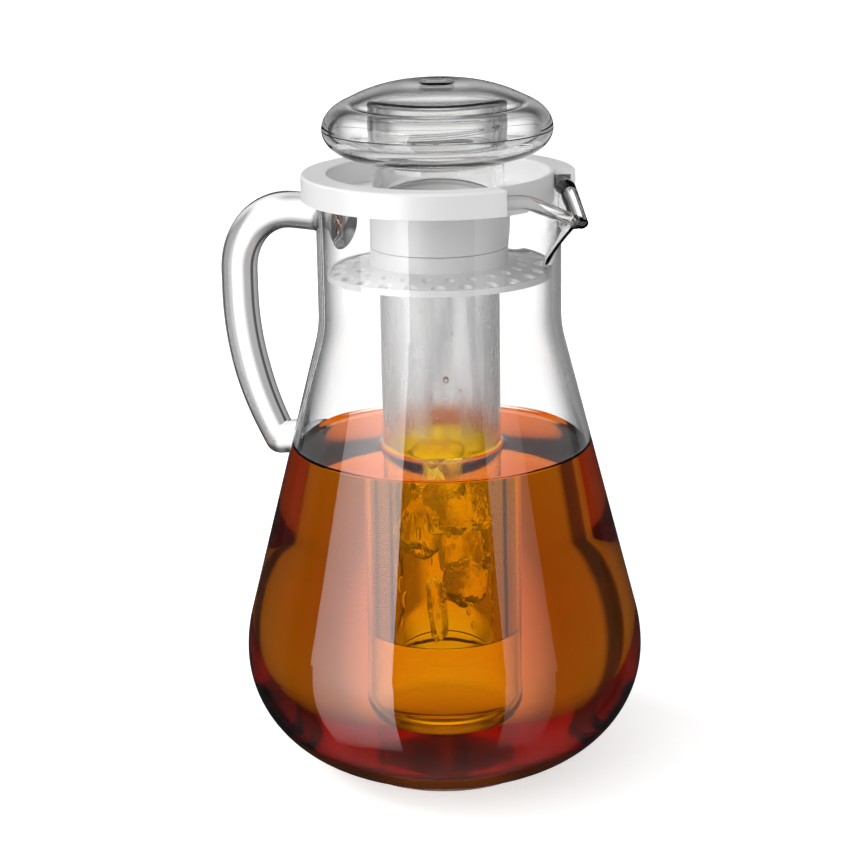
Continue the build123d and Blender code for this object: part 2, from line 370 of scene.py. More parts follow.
vessel = {
    "wall": 2.6,
    "footHeight": 2.0,
    "floorThickness": 4.0,
    "footRadius": 44.0,
    "footWidth": 6.0,
    "footRounding": 1.0,
    "bellyRadius": 85.75,
    "bellyHeight": 52.0,
    "bowlReach": 52.4,
    "bellyTurn": 8.5,
    "bendShare": 0.97,
    "coneTop": 194.2,
    "neckRadius": 51.0,
    "neckTurn": 6.5,
    "rimHeight": 257.0,
    "rimBead": 3.0,
    "rimBeadOffset": 0.2,
    "spoutReach": 67.2,
    "spoutDrop": 10.9,
    "spoutFoot": 222.0,
    "throatInset": 1.3,
    "keelPower": 1.25,
    "lipBead": 2.3,
    "lipBend": 51.5,
    "blend": 1.2,
    "keelSoftness": 0.03,
    "spoutRowsFrom": 208.0,
    "spoutRows": 20,
    "bowlRows": 34,
    "turnRows": 10,
    "beadPoints": 19,
    "noseFan": 15,
    "closeColumns": 57,
    "wideColumns": 66,
    "closeTo": 50.0,  # degrees from the spout
    "plungeRate": 8.0,  # how fast the V's plan falls away inside the neck
    "footSoft": 0.6,
    "footFillet": 1.5,
    # Angles of the bead's section: where it leaves the outer wall, at the neck and at the nose, and its end
    "beadFrom": -62.0,
    "beadFromNose": -105.0,
    "beadTo": 200.0,
    # Where the walls stop under the bead's centre line, as shares of its radius
    "outerStop": 1.2,
    "innerStop": 0.6,
}


def sideProfile(inset, floorHeight):
    # Bowl ellipse, bend into the cone, bend into the neck, each arc worked out from the corner it rounds
    v = vessel
    coneBottom = v["bellyHeight"] + v["bellyTurn"]
    angle = np.arctan((v["bellyRadius"] - v["neckRadius"]) / (v["coneTop"] - coneBottom))
    halfTurn = np.tan(angle / 2)
    bowlCentre = v["bellyRadius"] - v["bowlReach"]
    bowl = arcPoints(
        bowlCentre,
        v["bellyHeight"],
        v["bowlReach"] - inset,
        v["bellyHeight"] - floorHeight,
        -90,
        0,
        v["bowlRows"],
    )
    lowRadius = v["bendShare"] * v["bellyTurn"] / halfTurn - inset
    lowCorner = coneBottom - inset * halfTurn
    lowCentre = (v["bellyRadius"] - inset - lowRadius, lowCorner - lowRadius * halfTurn)
    turnRows = v["turnRows"]
    low = arcPoints(*lowCentre, lowRadius, lowRadius, 0, np.degrees(angle), turnRows)
    highRadius = v["neckTurn"] / halfTurn + inset
    highCorner = v["coneTop"] - inset * halfTurn
    highCentre = (v["neckRadius"] - inset + highRadius, highCorner + highRadius * halfTurn)
    high = arcPoints(*highCentre, highRadius, highRadius, 180 + np.degrees(angle), 180, turnRows)
    return np.vstack([bowl, low, high])


def outerRadius(height):
    # Outer radius of the vessel at a height, read off its profile
    profile = sideProfile(0, vessel["footHeight"])
    return np.interp(height, profile[:, 1], profile[:, 0])


def innerRadius(height):
    # The same for the inside of its wall
    profile = sideProfile(vessel["wall"], vessel["footHeight"] + vessel["floorThickness"])
    return np.interp(height, profile[:, 1], profile[:, 0])


def smoothMax(a, b, width):
    # The larger of two values, with a soft hand-over where they are closer than width
    share = np.clip(0.5 + 0.5 * (a - b) / width, 0, 1)
    return b + (a - b) * share + width * share * (1 - share)


def spoutRadius(theta, height, base, inset):
    # Plan radius with the V: a line tangent to a circle is circle / cos(spread - angle)
    v = vessel
    circle = v["neckRadius"] - v["throatInset"]
    lipHeight = v["rimHeight"] - v["rimBead"] - v["spoutDrop"]
    share = np.clip((height - v["spoutFoot"]) / (lipHeight - v["spoutFoot"]), 0, 1)
    tip = circle + (v["spoutReach"] - circle) * share ** v["keelPower"]
    spread = np.arccos(circle / tip)
    turn = spread - np.sqrt(theta**2 + v["keelSoftness"] ** 2)
    side = circle - inset
    plan = np.where(turn > 0, side / np.cos(np.clip(turn, 0, 1)), side - v["plungeRate"] * turn**2)
    return smoothMax(base, plan, v["blend"])


def spoutColumns():
    # Angles round the axis, closer together at the spout, with a fan of extra columns at its nose
    v = vessel
    spread = np.arccos((v["neckRadius"] + v["rimBeadOffset"]) / v["spoutReach"])
    closeTo = np.radians(v["closeTo"])
    wide = np.linspace(closeTo, np.pi, v["wideColumns"])
    close = np.linspace(0, closeTo, v["closeColumns"])
    side = np.concatenate([close[1:], wide[1:]])
    fan = np.linspace(-1, 1, v["noseFan"])
    theta = np.concatenate([-side[::-1][1:], np.zeros(len(fan)), side])
    sign = np.concatenate([-np.ones(len(side) - 1), fan, np.ones(len(side))])
    return theta, sign, spread


def vesselPiece():
    # Walls: plan radius over angle and height. Rim and lip: a round bead carried along the mouth's line,
    # centre plus bead radius times cosine outwards and sine upwards.
    v = vessel
    theta, sign, spread = spoutColumns()
    away = np.abs(theta)
    ringRadius = v["neckRadius"] + v["rimBeadOffset"]
    rimCentre = v["rimHeight"] - v["rimBead"]
    onSpout = away < spread
    planRadius = np.where(onSpout, ringRadius / np.cos(np.clip(spread - away, 0, 1)), ringRadius)
    centre = np.column_stack([planRadius * np.cos(theta), planRadius * np.sin(theta)])
    fall = (centre[:, 0] - v["lipBend"]) / (v["spoutReach"] - v["lipBend"])
    soft = np.sqrt(fall**2 + 0.01)
    lipHeight = rimCentre - v["spoutDrop"] * (fall + soft) / 2
    slope = v["spoutDrop"] / (v["spoutReach"] - v["lipBend"]) * (1 + fall / soft) / 2 * np.sin(spread)
    tilt = np.where(onSpout, np.arctan(slope), 0)
    # Outward and upward directions of the bead's round section
    facing = np.where(onSpout, sign * spread, theta)
    outward = np.column_stack([np.cos(facing), np.sin(facing), np.zeros(len(theta))])
    upward = np.column_stack(
        [np.sin(spread) * np.sin(tilt), -sign * np.cos(spread) * np.sin(tilt), np.cos(tilt)]
    )
    upward /= np.linalg.norm(upward, axis=1)[:, None]
    leaveX = ringRadius * np.cos(spread)
    along = np.where(onSpout, np.clip((centre[:, 0] - leaveX) / (v["spoutReach"] - leaveX), 0, 1), 0)
    bead = v["rimBead"] + (v["lipBead"] - v["rimBead"]) * along
    share = np.linspace(0, 1, v["beadPoints"])
    startAngle = np.radians(v["beadFrom"] + (v["beadFromNose"] - v["beadFrom"]) * along)[:, None]
    phi = startAngle + (np.radians(v["beadTo"]) - startAngle) * share
    middle = np.column_stack([centre, lipHeight])[:, None, :]
    section = np.cos(phi)[..., None] * outward[:, None, :] + np.sin(phi)[..., None] * upward[:, None, :]
    beadPoints = middle + bead[:, None, None] * section
    # Walls up to the bead
    outerLow = sideProfile(0, v["footHeight"])
    innerLow = sideProfile(v["wall"], v["footHeight"] + v["floorThickness"])
    footOuter = v["footRadius"]
    footInner = v["footRadius"] - v["footWidth"]
    bowlCentre = v["bellyRadius"] - v["bowlReach"]
    bowl = outerLow[: v["bowlRows"]]
    footTop = float(np.interp(footOuter, bowl[:, 0], bowl[:, 1]))
    foot = roundedOutline(
        [(footInner, v["footHeight"]), (footInner, 0), (footOuter, 0), (footOuter, footTop)],
        [v["footSoft"], v["footRounding"], v["footRounding"], 0],
    )[1:]
    base = np.array([(reach, v["footHeight"]) for reach in (0, bowlCentre / 2, bowlCentre, footInner - 1.2)])
    rest = outerLow[np.argmax(outerLow[:, 0] > footOuter + v["footFillet"]) :]
    outerFixed = np.vstack([base, foot, rest])
    innerFixed = np.vstack([[(0, v["footHeight"] + v["floorThickness"])], innerLow])
    share = np.linspace(0, 1, v["spoutRows"])[None, :]
    outerTop = (lipHeight - v["outerStop"] * bead)[:, None]
    innerTop = (lipHeight - v["innerStop"] * bead)[:, None]
    outerHeight = v["spoutRowsFrom"] + (outerTop - v["spoutRowsFrom"]) * share
    innerHeight = v["spoutRowsFrom"] + (innerTop - v["spoutRowsFrom"]) * share
    outerPlan = spoutRadius(theta[:, None], outerHeight, v["neckRadius"], 0)
    innerPlan = spoutRadius(theta[:, None], innerHeight, v["neckRadius"] - v["wall"], v["wall"])

    def spun(radius, height):
        # Points at the columns' angles: x = radius times cosine, y = radius times sine
        x = np.cos(theta)[:, None] * radius
        y = np.sin(theta)[:, None] * radius
        return np.stack([x, y, np.broadcast_to(height, x.shape)], -1)

    ones = np.ones((len(theta), 1))
    lowerOuter = spun(ones * outerFixed[:, 0], ones * outerFixed[:, 1])
    lowerInner = spun(ones * innerFixed[::-1, 0], ones * innerFixed[::-1, 1])
    upperOuter = spun(outerPlan, outerHeight)
    upperInner = spun(innerPlan, innerHeight)[:, ::-1]
    # The two lips meet in the middle plane of the spout: each is cut there, and the cut faces are left out
    side = np.sign(sign)[:, None]
    y = beadPoints[..., 1]
    beadPoints[..., 1] = np.where(onSpout[:, None] & (y * side < 0), 0, y)
    grid = np.concatenate([lowerOuter, upperOuter, beadPoints, upperInner, lowerInner], 1)
    points = grid.reshape(-1, 3)
    faces = gridFaces(len(theta), grid.shape[1], True, False)
    onPlane = (np.abs(points[:, 1]) < 1e-9) & (points[:, 0] > 0) & (points[:, 2] > v["spoutFoot"])
    faces = faces[~onPlane[faces].all(1)]
    about = (blownGlass, 38, ("vessel",), "vessel", "vessel_glass")
    return meshPiece("pitcherGlass", points, faces, *about)


pitcherGlass = vesselPiece()
print("vessel: faces", len(pitcherGlass.data.polygons))

# Handle: round rod carried along its centre line, a tight elbow at its lower end

handle = {
    "radius": 8.0,
    "endRadius": 7.3,
    "rootRadius": 11.6,
    "rootLength": 11.0,
    "topHeight": 237.5,
    "reach": 102.8,
    "corner": 29.5,
    "straight": 9.0,
    "sweepRadius": 118.0,
    "sweepAngle": 31.0,
    "tail": 5.0,
    "footRise": 6.0,
    "footFlare": 1.2,
    "bondGap": 0.05,
    "sides": 48,
    "elbowFan": 9,
    "stubRows": 7,
    "endRows": 12,
}


def handlePath():
    # Top run, round corner, straight, long inward arc, tail; then the elbow and the foot to the cone
    h = handle
    cornerX = h["reach"] - h["corner"]
    cornerZ = h["topHeight"] - h["corner"]
    sweepZ = cornerZ - h["straight"]
    top = np.column_stack([np.linspace(-vessel["neckRadius"], -cornerX, 12), np.full(12, h["topHeight"])])
    corner = arcPoints(-cornerX, cornerZ, h["corner"], h["corner"], 90, 180, 24)
    radius = h["sweepRadius"]
    sweep = arcPoints(radius - h["reach"], sweepZ, radius, radius, 180, 180 + h["sweepAngle"], 24)
    angle = np.radians(180 + h["sweepAngle"])
    heading = np.array([-np.sin(angle), np.cos(angle)])
    tail = sweep[-1] + heading * h["tail"]
    flat = np.vstack([top, corner[1:], sweep, tail])
    return flat, heading


def handlePiece():
    # Round section carried along the path: centre plus radius times sine sideways and cosine across it
    h = handle
    flat, heading = handlePath()
    elbow = flat[-1]
    foot = np.array([-vessel["neckRadius"], elbow[1] + h["footRise"]])
    away = (foot - elbow) / np.linalg.norm(foot - elbow)
    wallX = -outerRadius(elbow[1] + 2) - h["bondGap"]
    stubLength = (wallX - elbow[0]) / away[0]
    stubShare = np.linspace(0.15, 1, h["stubRows"])
    stub = elbow + away * stubShare[:, None] * stubLength
    direction = np.gradient(flat, axis=0)
    direction /= np.linalg.norm(direction, axis=1)[:, None]
    direction[-1] = heading
    fanCount = h["elbowFan"]
    fanShare = np.linspace(0, 1, fanCount + 2)[1:-1, None]
    turn = np.arccos(heading @ away)
    fanHeading = (np.sin((1 - fanShare) * turn) * heading + np.sin(fanShare * turn) * away) / np.sin(turn)
    centres = np.vstack([flat, np.repeat(elbow[None], fanCount, 0), elbow[None], stub])
    headings = np.vstack([direction, fanHeading, np.repeat(away[None], 1 + h["stubRows"], 0)])
    fromRoot = centres[: len(flat), 0] + vessel["neckRadius"]
    flare = (h["rootRadius"] - h["radius"]) * np.clip(1 + fromRoot / h["rootLength"], 0, 1) ** 2
    flare = np.where(centres[: len(flat), 1] > h["topHeight"] - 1, flare, 0)
    radius = h["radius"] + flare
    centres[: len(flat), 1] -= flare
    radius[-h["endRows"] :] = np.linspace(h["radius"], h["endRadius"], h["endRows"])
    footRadius = h["endRadius"] + h["footFlare"] * stubShare**4
    radius = np.concatenate([radius, np.full(fanCount + 1, h["endRadius"]), footRadius])
    sides = h["sides"]
    around = np.linspace(0, fullTurn, sides, endpoint=False)
    # Section: sideways is +Y, the other way is the heading turned a quarter in the XZ plane
    across = np.column_stack([headings[:, 1], -headings[:, 0]])
    sideways = radius[:, None] * np.sin(around)
    offset = radius[:, None] * np.cos(around)
    x = centres[:, :1] + across[:, :1] * offset
    z = centres[:, 1:] + across[:, 1:] * offset
    grid = np.stack([x, sideways, z], -1)
    # Inner half of the elbow: each line along the rod stops where it crosses the elbow's middle plane
    middleNormal = (heading + away) / np.linalg.norm(heading + away)
    depth = (grid[..., 0] - elbow[0]) * middleNormal[0] + (grid[..., 2] - elbow[1]) * middleNormal[1]
    rowNumber = np.arange(len(centres))[:, None]
    half = len(flat) + fanCount // 2
    near = rowNumber > len(flat) - 8  # the elbow's plane also cuts the rod's far end
    before = (depth > 0) & (rowNumber <= half) & near
    after = (depth < 0) & (rowNumber > half)
    line = np.arange(sides)

    def planeCrossing(rowOut, rowIn):
        # Where the line from one row to the other meets the plane, by the share of the two depths
        share = depth[rowOut, line] / (depth[rowOut, line] - depth[rowIn, line])
        return grid[rowOut, line] + (grid[rowIn, line] - grid[rowOut, line]) * share[:, None]

    firstIn = np.argmax(before, 0)
    lastIn = len(centres) - 1 - np.argmax(after[::-1], 0)
    cut = before.any(0) & after.any(0)
    meeting = np.zeros((sides, 3))
    with np.errstate(all="ignore"):
        both = planeCrossing(firstIn - 1, firstIn) + planeCrossing((lastIn + 1) % len(centres), lastIn)
    meeting[cut] = both[cut] / 2
    wrong = (rowNumber >= firstIn) & (rowNumber <= lastIn) & cut
    grid = np.where(wrong[..., None], meeting[None], grid)
    # Both ends are bonded: they follow the neck's and the cone's round surface
    capShares = np.array([0.75, 0.5, 0.25, 0.0])[:, None, None]
    rootRing = grid[0]
    rootMiddle = rootRing.mean(0)
    rootCap = (rootMiddle + (rootRing - rootMiddle) * capShares)[::-1]
    footRing = grid[-1]
    footMiddle = footRing.mean(0)
    footCap = footMiddle + (footRing - footMiddle) * capShares
    for patch, wallRadius in ((rootCap, None), (rootRing[None], None), (footCap, 1), (footRing[None], 1)):
        reach = vessel["neckRadius"] if wallRadius is None else outerRadius(patch[..., 2])
        patch[..., 0] = -np.sqrt((reach + h["bondGap"]) ** 2 - patch[..., 1] ** 2)
    grid = np.concatenate([rootCap, grid, footCap])
    points = grid.reshape(-1, 3)
    faces = gridFaces(grid.shape[0], sides, False, True)
    about = (rodGlass, 60, ("handle",), "vessel", "vessel_glass")
    return meshPiece("handleGlass", points, faces, *about)


handleGlass = handlePiece()
print("handle: faces", len(handleGlass.data.polygons))

# Ice tube, its melt water and its ice

iceTube = {
    "radius": 25.2,
    "wall": 2.0,
    "floor": 3.0,
    "corner": 6.0,
    "bottom": 27.0,
    "collarRadius": 27.5,
    "collarBottom": 250.8,
    "collarTop": 264.3,
    "top": 285.8,
    "threadHeight": 0.8,
    "threadLead": 11.0,
    "threadFrom": 268.5,
    "threadTo": 281.5,
}


def tubePiece():
    # Turned profile. Its radius grows to a helical ridge where height passes start plus lead times turns
    t = iceTube
    inner = t["radius"] - t["wall"]
    floor = t["bottom"] + t["floor"]
    corner = t["corner"]
    outerCorner = arcPoints(t["radius"] - corner, t["bottom"] + corner, corner, corner, -90, 0, 10)
    body = np.column_stack([np.full(24, t["radius"]), np.linspace(40, t["collarBottom"] - 0.4, 24)])
    collar = roundedOutline(
        [
            (t["radius"], t["collarBottom"] - 0.4),
            (t["radius"], t["collarBottom"]),
            (t["collarRadius"], t["collarBottom"]),
            (t["collarRadius"], t["collarTop"]),
            (t["radius"], t["collarTop"]),
            (t["radius"], t["collarTop"] + 1.5),
        ],
        [0, 0, 0.7, 0.9, 0, 0],
        closed=False,
    )[1:]
    lipLow = t["top"] - 1.2
    threadHeights = np.linspace(t["collarTop"] + 2, lipLow, 46)
    threadRows = np.column_stack([np.full(46, t["radius"]), threadHeights])
    mouth = roundedOutline(
        [(t["radius"], lipLow), (t["radius"], t["top"]), (inner, t["top"]), (inner, lipLow)],
        [0, 0.8, 0.8, 0],
        closed=False,
    )[1:-1]
    innerBody = np.column_stack([np.full(30, inner), np.linspace(t["top"] - 1.5, 40, 30)])
    cornerIn = t["corner"] - t["wall"]
    innerCorner = arcPoints(inner - cornerIn, floor + cornerIn, cornerIn, cornerIn, 0, -90, 9)
    profile = np.vstack(
        [
            [(0, t["bottom"]), (10, t["bottom"])],
            outerCorner,
            body,
            collar,
            threadRows,
            mouth,
            innerBody,
            innerCorner,
            [(10, floor), (0, floor)],
        ]
    )
    steps = 144
    points = latheGrid(profile, steps).reshape(steps, len(profile), 3)
    angle = np.arange(steps) * fullTurn / steps
    height = points[..., 2]
    isThread = np.zeros(len(profile), bool)
    first = 2 + len(outerCorner) + len(body) + len(collar)
    isThread[first : first + len(threadRows)] = True
    ridge = np.zeros_like(height)
    for lap in range(-1, 3):
        line = t["threadFrom"] + t["threadLead"] * (angle[:, None] / fullTurn + lap)
        inside = np.clip((line - t["threadFrom"]) / 2, 0, 1) * np.clip((t["threadTo"] - line) / 2, 0, 1)
        ridge += inside * np.exp(-(((height - line) / 0.9) ** 4))
    grow = 1 + np.where(isThread[None, :], t["threadHeight"] * ridge / t["radius"], 0)
    points[..., 0] *= grow
    points[..., 1] *= grow
    points = points.reshape(-1, 3)
    faces = gridFaces(steps, len(profile), True, False)
    about = (foggedTube, 40, ("ice_tube",), "ice_tube", "clear_plastic")
    return meshPiece("iceTubeClear", points, faces, *about)


tubePiece()

drink = {
    "level": 142.6,
    "climb": 2.2,
    "climbWidth": 2.6,
    "sink": 0.3,  # how far it reaches into both walls, so that no air gap shows
}


def teaPiece():
    # Fills the vessel round the tube, its skin just inside their walls, so light bends as at a wet wall
    d, t = drink, iceTube
    floorHeight = vessel["footHeight"] + vessel["floorThickness"]
    outer = sideProfile(vessel["wall"] - d["sink"], floorHeight - d["sink"])
    outer = outer[outer[:, 1] < d["level"] - 1]
    rim = float(innerRadius(d["level"]))
    tubeWall = t["radius"] - d["sink"]
    edgeOut = rim + d["sink"]
    # Meniscus: the surface climbs as an exponential towards each wall
    gap = np.concatenate([[0], np.geomspace(0.05, 14, 14)])
    climb = d["climb"] * np.exp(-gap * 3 / d["climbWidth"])
    nearWall = np.column_stack([edgeOut - gap, d["level"] + climb])
    nearTube = np.column_stack([tubeWall + gap, d["level"] + climb])[::-1]
    cornerOut = t["corner"] - d["sink"]
    bottom = t["bottom"] + d["sink"]
    tubeCorner = arcPoints(tubeWall - cornerOut, bottom + cornerOut, cornerOut, cornerOut, 0, -90, 9)
    profile = np.vstack(
        [[(0, floorHeight - d["sink"])], outer, nearWall, nearTube, tubeCorner, [(0, bottom)]]
    )
    return lathePiece("drinkTea", profile, blackTea, 192, body="vessel", sharp=60)


teaPiece()
print("drink: ready")

melt = {"level": 58.0, "climb": 1.6, "sink": 0.25}


def waterPiece():
    # Melt water in the foot of the tube, its side just inside the tube's wall
    t = iceTube
    inner = t["radius"] - t["wall"] + melt["sink"]
    floor = t["bottom"] + t["floor"] - melt["sink"]
    cornerIn = t["corner"] - t["wall"]
    corner = arcPoints(inner - cornerIn, floor + cornerIn, cornerIn, cornerIn, -90, 0, 9)
    gap = np.concatenate([[0], np.geomspace(0.1, 10, 10)])
    surface = np.column_stack([inner - gap, melt["level"] + melt["climb"] * np.exp(-gap)])
    profile = np.vstack([[(0, floor)], corner, surface, [(0, melt["level"])]])
    return lathePiece("meltWater", profile, meltWater, 96, body="ice_tube", sharp=60)


waterPiece()

iceLumps = [
    # centre x, y, z, half sizes, turn in degrees about z and x
    ((-6.0, 4.0, 128.0), (12.5, 11.5, 12.0), 20, 12),
    ((8.5, -5.0, 117.0), (10.5, 11.0, 11.5), 65, -18),
    ((-8.0, -5.0, 103.5), (11.0, 10.0, 10.5), 110, 24),
    ((6.5, 6.5, 94.0), (11.5, 10.5, 11.0), 40, -30),
    ((9.5, 3.0, 79.0), (9.5, 8.0, 8.0), 75, 10),
    ((4.0, -12.0, 72.0), (3.2, 3.2, 14.0), 0, 8),
]
iceEdge = 0.45  # 1 is a ball, towards 0 a sharp block
iceWear = {"coarse": 0.09, "fine": 0.03, "wallGap": 0.3}


def roundGrid(steps, rings, edge):
    # Unit superellipsoid: cosines and sines of both angles, each to the power of edge
    u = np.linspace(0, fullTurn, steps, endpoint=False)[:, None]
    w = np.linspace(-np.pi / 2, np.pi / 2, rings)[None, :]

    def power(value):
        return np.sign(value) * np.abs(value) ** edge

    x = power(np.cos(w)) * power(np.cos(u))
    y = power(np.cos(w)) * power(np.sin(u))
    return np.stack([x, y, power(np.sin(w)) * np.ones_like(u)], -1)


def icePiece():
    # Worn cubes: a superellipsoid whose surface is pushed in and out by crossed sine waves
    steps, rings = 40, 25
    allPoints, allFaces = [], []
    for number, (centre, half, turnZ, turnX) in enumerate(iceLumps):
        unit = roundGrid(steps, rings, iceEdge)
        shift = number * 1.7
        x, y, z = unit[..., 0], unit[..., 1], unit[..., 2]
        coarse = np.sin(5 * x + shift) * np.sin(4 * y - shift) * np.sin(6 * z + 2 * shift)
        fine = np.sin(17 * x - shift) * np.sin(13 * z + shift) * np.sin(15 * y)
        unit *= (1 + iceWear["coarse"] * coarse + iceWear["fine"] * fine)[..., None]
        local = unit.reshape(-1, 3) * half
        turn = Matrix.Rotation(np.radians(turnZ), 3, "Z") @ Matrix.Rotation(np.radians(turnX), 3, "X")
        spots = local @ np.array(turn).T + centre
        reach = np.hypot(spots[:, 0], spots[:, 1])
        limit = iceTube["radius"] - iceTube["wall"] - iceWear["wallGap"]
        squeeze = np.where(reach > limit, limit / np.maximum(reach, 1e-6), 1)
        spots[:, :2] *= squeeze[:, None]
        allPoints.append(spots)
        allFaces.append(gridFaces(steps, rings, True, False) + number * steps * rings)
    points, faces = np.vstack(allPoints), np.vstack(allFaces)
    return meshPiece("iceLumps", points, faces, clearIce, 70, body="ice_tube")


icePiece()

wallDrops = {
    "count": 110,
    "low": 63.0,
    "high": 139.0,
    "width": (0.45, 1.0),
    "stretch": (1.1, 6.5),
    "gap": 0.12,
    # Single drops above the drink: degrees from the main view, height, size
    "single": [
        (5, 176, 1.3),
        (-12, 168, 0.8),
        (20, 171, 0.7),
        (-28, 184, 0.6),
        (33, 160, 0.7),
        (-5, 160, 0.6),
        (12, 196, 0.6),
        (-38, 152, 0.7),
        (-20, 205, 0.5),
        (28, 212, 0.5),
    ],
}


def dropsPiece():
    # Runs and drops of water on the tube's inner wall: ellipsoids, spread by the golden angle and by the
    # fractional parts of multiples of square roots, which never fall into rows
    d = wallDrops
    number = np.arange(d["count"])
    angle = np.radians(number * 137.508)
    height = d["low"] + (d["high"] - d["low"]) * ((number * 0.414214) % 1)
    width = np.interp((number * 0.732051) % 1, (0, 1), d["width"])
    length = width * np.interp((number * 0.236068) % 1, (0, 1), d["stretch"])
    offset, singleHeight, singleSize = np.array(d["single"]).T
    angle = np.concatenate([angle, np.radians(offset + mainAzimuth - 90)])
    height = np.concatenate([height, singleHeight])
    width = np.concatenate([width, singleSize])
    length = np.concatenate([length, singleSize * 1.15])
    reach = iceTube["radius"] - iceTube["wall"] - d["gap"] - width
    centre = np.column_stack([reach * np.cos(angle), reach * np.sin(angle), height])
    half = np.column_stack([width, width, length])
    steps, rings = 14, 9
    unit = roundGrid(steps, rings, 1)
    points = (centre[:, None] + half[:, None] * unit.reshape(-1, 3)).reshape(-1, 3)
    firstPoint = (np.arange(len(half)) * steps * rings)[:, None, None]
    faces = (gridFaces(steps, rings, True, False) + firstPoint).reshape(-1, 4)
    return meshPiece("wallDrops", points, faces, meltWater, 70, body="ice_tube")


dropsPiece()
print("ice tube: ready")

# Knob: two hollow halves that meet at the widest place, with the sleeve inside the lower one

knob = {
    "wall": 4.6,
    "radius": 47.8,
    "flatRadius": 30.0,
    "bottom": 265.5,
    "lowerHeight": 12.0,
    "shoulderWidth": 19.6,
    "shoulderRise": 13.6,
    "shoulderTurn": 60.0,
    "crownRise": 19.7,
    "crownBulge": 2.0,
    "apexRadius": 7.0,
    "apexStep": 0.4,
    "sleeveBore": 26.4,
    "sleeveWall": 2.2,
    "sleeveTop": 288.1,
    "sleeveCap": 2.0,
    "seamRounding": 0.25,
    "bowlRows": 24,
}
knobAbout = {"body": "knob", "slotName": "clear_plastic", "sharp": 50}


def threePointArc(start, middle, end, count):
    # Circle arc through three points, found from where the chords' mid-lines cross
    a, b, c = (np.asarray(p, float) for p in (start, middle, end))
    system = np.array([b - a, c - a]) * 2
    centre = np.linalg.solve(system, [b @ b - a @ a, c @ c - a @ a])
    radius = np.linalg.norm(a - centre)
    first, last = (np.arctan2(*(p - centre)[::-1]) for p in (a, c))
    angle = np.linspace(first, last, count)
    return centre + radius * np.column_stack([np.cos(angle), np.sin(angle)])


def bowlCurve(inset):
    # Quarter ellipse from the flat underside out to the widest place
    k = knob
    equator = k["bottom"] + k["lowerHeight"]
    across = k["radius"] - k["flatRadius"] - inset
    return arcPoints(k["flatRadius"], equator, across, k["lowerHeight"] - inset, -90, 0, k["bowlRows"])


def domeCurve(inset):
    # Ellipse arc over the shoulder, then a flatter arc up to the small flat at the top
    k = knob
    equator = k["bottom"] + k["lowerHeight"]
    centreR = k["radius"] - k["shoulderWidth"]
    shoulder = arcPoints(
        centreR, equator, k["shoulderWidth"] - inset, k["shoulderRise"] - inset, 0, k["shoulderTurn"], 20
    )
    crownHeight = equator + k["crownRise"] - inset
    edge = shoulder[-1]
    middle = ((edge[0] + k["apexRadius"]) / 2, (edge[1] + crownHeight) / 2 + k["crownBulge"])
    crown = threePointArc(edge, middle, (k["apexRadius"], crownHeight), 22)
    return np.vstack([shoulder, crown[1:]]), crownHeight


def knobBowlPiece():
    # Turned profile: up the sleeve's bore, along the outside, back inside and round the sleeve
    k = knob
    equator = k["bottom"] + k["lowerHeight"]
    sleeveRadius = k["sleeveBore"] + k["sleeveWall"]
    boreTop = k["sleeveTop"] - k["sleeveCap"]
    floorIn = k["bottom"] + k["wall"]
    sleeve = roundedOutline(
        [(sleeveRadius, floorIn), (sleeveRadius, k["sleeveTop"]), (0, k["sleeveTop"])],
        [0, 1.6, 0],
        closed=False,
    )
    bore = roundedOutline(
        [(0, boreTop), (k["sleeveBore"], boreTop), (k["sleeveBore"], k["bottom"])],
        [0, 0.8, 0],
        closed=False,
    )
    profile = np.vstack(
        [
            bore,
            bowlCurve(0),
            [(k["radius"] - k["seamRounding"], equator - 0.01)],
            bowlCurve(k["wall"])[::-1],
            sleeve,
        ]
    )
    profile[len(bore) + k["bowlRows"] - 1, 1] -= k["seamRounding"]
    return lathePiece("knobLower", profile, clearPlastic, replaced=("knob_bowl",), **knobAbout)


def knobDomePiece():
    # Turned profile: up the outside to the axis, then back along the inside
    k = knob
    equator = k["bottom"] + k["lowerHeight"]
    outer, crownHeight = domeCurve(0)
    inner, crownUnder = domeCurve(k["wall"])
    apex = arcPoints(k["apexRadius"] - 0.4, crownHeight, 0.4, k["apexStep"], 0, 90, 5)
    outer[0, 1] += k["seamRounding"]
    profile = np.vstack(
        [
            [(k["radius"] - k["seamRounding"], equator + 0.02)],
            outer,
            apex,
            [(0, crownHeight + k["apexStep"])],
            [(0, crownUnder)],
            inner[::-1] + [0, 0.02],
        ]
    )
    # The profile touches the axis twice, above and below the crown, so it closes as one shell
    about = {"closed": True, "replaced": ("knob_dome",), **knobAbout}
    return lathePiece("knobUpper", profile, clearPlastic, **about)


knobBowlPiece()
knobDomePiece()
print("knob: ready")

# Opaque parts keep their own shape and only get their finish

solidFinish = {
    "lid": whitePlastic,
    "strainer": whitePlastic,
    "tube_seal": silicone,
    "knob_seal": silicone,
}
for nodeName, finish in solidFinish.items():
    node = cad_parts[nodeName]
    node.data.materials.clear()
    node.data.materials.append(finish)

# Clear pieces cast no shadow, the drink does
clearNames = ["pitcherGlass", "handleGlass", "iceTubeClear", "knobLower", "knobUpper"]
for clearName in clearNames + ["meltWater", "iceLumps", "wallDrops"]:
    bpy.data.objects[clearName].visible_shadow = False
